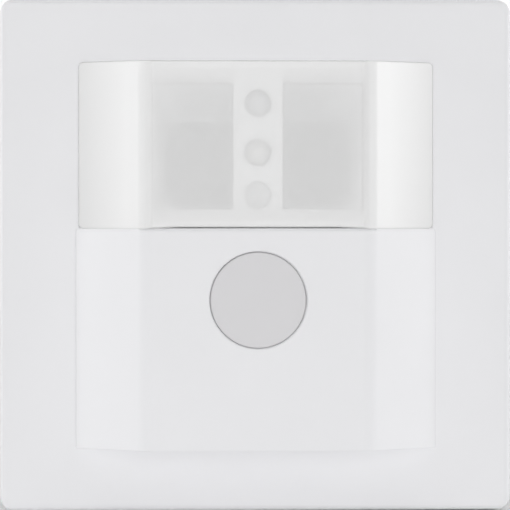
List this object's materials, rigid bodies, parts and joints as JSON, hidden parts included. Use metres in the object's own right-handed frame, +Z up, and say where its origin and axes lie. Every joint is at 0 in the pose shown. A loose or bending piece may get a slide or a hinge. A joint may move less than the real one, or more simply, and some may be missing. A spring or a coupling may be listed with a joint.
{
  "type": "motion sensor light switch",
  "caption": "Flush wall motion switch: square white frame, bulged front with a milky infrared lens above a plate with a round push button, plugged onto a relay insert.",
  "frame": {"origin": "middle of the wall box's screw pattern, on the wall plane", "axes": "+X to the right as seen from the room, +Z up, +Y into the wall"},
  "size_m": [0.0804, 0.0496, 0.0804],
  "materials": {
    "frame_white": "moulded, glossy",
    "cover_white": "moulded, glossy",
    "lens_milky": "milky, satin",
    "button_grey": "moulded, satin",
    "carrier_white": "moulded, matt",
    "hood_dark": "moulded, matt",
    "sensor_can": "blackened",
    "sensor_filter": "polished",
    "lamp_resin": "diffused cast resin",
    "clear_resin": "cast resin",
    "smoked_resin": "cast resin",
    "board_white": "white solder mask",
    "board_green": "solder mask",
    "chip_black": "moulded",
    "key_ivory": "moulded",
    "trimmer_blue": "moulded",
    "rotor_white": "moulded",
    "contact_brass": "plated",
    "screw_steel": "zinc plated",
    "rear_grey": "moulded, matt",
    "ring_steel": "zinc-plated sheet",
    "insert_grey": "moulded, matt",
    "insert_lid": "moulded, matt",
    "film_yellow": "moulded",
    "sleeve_blue": "shrunk sleeve",
    "varistor_blue": "dipped",
    "fuse_brown": "moulded",
    "choke_copper": "enamelled wire",
    "terminal_grey": "moulded, matt"
  },
  "bodies": {
    "insert": {"support_ring": "ring_steel", "ring_rivets": "screw_steel", "insert_housing": "insert_grey", "insert_cover": "insert_lid", "power_board": "board_green", "relay": "chip_black", "film_capacitor": "film_yellow", "storage_capacitor": "sleeve_blue", "varistor": "varistor_blue", "fuse": "fuse_brown", "choke": "choke_copper", "rectifier": "chip_black", "socket_body": "chip_black", "terminal_bars": "contact_brass", "terminal_body_1": "terminal_grey", "terminal_body_2": "terminal_grey", "terminal_body_3": "terminal_grey", "terminal_body_4": "terminal_grey"},
    "front_module": {"cover_frame": "frame_white", "front_cover": "cover_white", "lens": "lens_milky", "sensor_carrier": "carrier_white", "pir_baffle_left": "hood_dark", "pir_baffle_right": "hood_dark", "pir_sensor_left": "sensor_can", "pir_sensor_right": "sensor_can", "pir_window_left": "sensor_filter", "pir_window_right": "sensor_filter", "status_led": "lamp_resin", "light_sensor": "clear_resin", "ir_receiver": "smoked_resin", "sensor_board": "board_white", "controller_chip": "chip_black", "switch_body": "chip_black", "trimmer_bodies": "trimmer_blue", "plug_body": "chip_black", "plug_pins": "contact_brass", "board_screws": "screw_steel", "rear_cover": "rear_grey"},
    "button": {"push_button": "button_grey"},
    "plunger": {"switch_plunger": "key_ivory"},
    "time_rotor": {"time_trimmer": "rotor_white"},
    "light_rotor": {"light_trimmer": "rotor_white"},
    "range_rotor": {"range_trimmer": "rotor_white"},
    "screw_1": {"terminal_screw_1": "screw_steel"},
    "clamp_1": {"terminal_clamp_1": "contact_brass"},
    "screw_2": {"terminal_screw_2": "screw_steel"},
    "clamp_2": {"terminal_clamp_2": "contact_brass"},
    "screw_3": {"terminal_screw_3": "screw_steel"},
    "clamp_3": {"terminal_clamp_3": "contact_brass"},
    "screw_4": {"terminal_screw_4": "screw_steel"},
    "clamp_4": {"terminal_clamp_4": "contact_brass"}
  },
  "joints": [
    {"name": "module_pull", "type": "slide", "parent": "insert", "child": "front_module", "axis": [0, -1, 0], "range_m": [0, 0.03]},
    {"name": "button_press", "type": "slide", "parent": "front_module", "child": "button", "axis": [0, 1, 0], "range_m": [0, 0.0008], "stiffness_N_per_m": 2500, "springref_m": -0.0002},
    {"name": "plunger_press", "type": "slide", "parent": "front_module", "child": "plunger", "axis": [0, 1, 0], "range_m": [0, 0.0008]},
    {"name": "time_turn", "type": "hinge", "parent": "front_module", "child": "time_rotor", "pos_m": [-0.0125, -0.0046, 0.0046], "axis": [0, 1, 0], "range_deg": [-135, 135]},
    {"name": "light_turn", "type": "hinge", "parent": "front_module", "child": "light_rotor", "pos_m": [0, -0.0046, 0.0046], "axis": [0, 1, 0], "range_deg": [-135, 135]},
    {"name": "range_turn", "type": "hinge", "parent": "front_module", "child": "range_rotor", "pos_m": [0.0125, -0.0046, 0.0046], "axis": [0, 1, 0], "range_deg": [-135, 135]},
    {"name": "clamp_1_lift", "type": "slide", "parent": "insert", "child": "clamp_1", "axis": [0, 0, -1], "range_m": [0, 0.0027]},
    {"name": "screw_1_turn", "type": "hinge", "parent": "insert", "child": "screw_1", "pos_m": [-0.0114, 0.0243, -0.0195], "axis": [0, 0, 1], "range_deg": [0, 1944]},
    {"name": "clamp_2_lift", "type": "slide", "parent": "insert", "child": "clamp_2", "axis": [0, 0, -1], "range_m": [0, 0.0027]},
    {"name": "screw_2_turn", "type": "hinge", "parent": "insert", "child": "screw_2", "pos_m": [-0.0038, 0.0243, -0.0195], "axis": [0, 0, 1], "range_deg": [0, 1944]},
    {"name": "clamp_3_lift", "type": "slide", "parent": "insert", "child": "clamp_3", "axis": [0, 0, -1], "range_m": [0, 0.0027]},
    {"name": "screw_3_turn", "type": "hinge", "parent": "insert", "child": "screw_3", "pos_m": [0.0038, 0.0243, -0.0195], "axis": [0, 0, 1], "range_deg": [0, 1944]},
    {"name": "clamp_4_lift", "type": "slide", "parent": "insert", "child": "clamp_4", "axis": [0, 0, -1], "range_m": [0, 0.0027]},
    {"name": "screw_4_turn", "type": "hinge", "parent": "insert", "child": "screw_4", "pos_m": [0.0114, 0.0243, -0.0195], "axis": [0, 0, 1], "range_deg": [0, 1944]}
  ],
  "couplings": [
    {"joint": "plunger_press", "follows": "button_press", "ratio": 1},
    {"joint": "screw_1_turn", "follows": "clamp_1_lift", "rad_per_m": 12566},
    {"joint": "screw_2_turn", "follows": "clamp_2_lift", "rad_per_m": 12566},
    {"joint": "screw_3_turn", "follows": "clamp_3_lift", "rad_per_m": 12566},
    {"joint": "screw_4_turn", "follows": "clamp_4_lift", "rad_per_m": 12566}
  ]
}
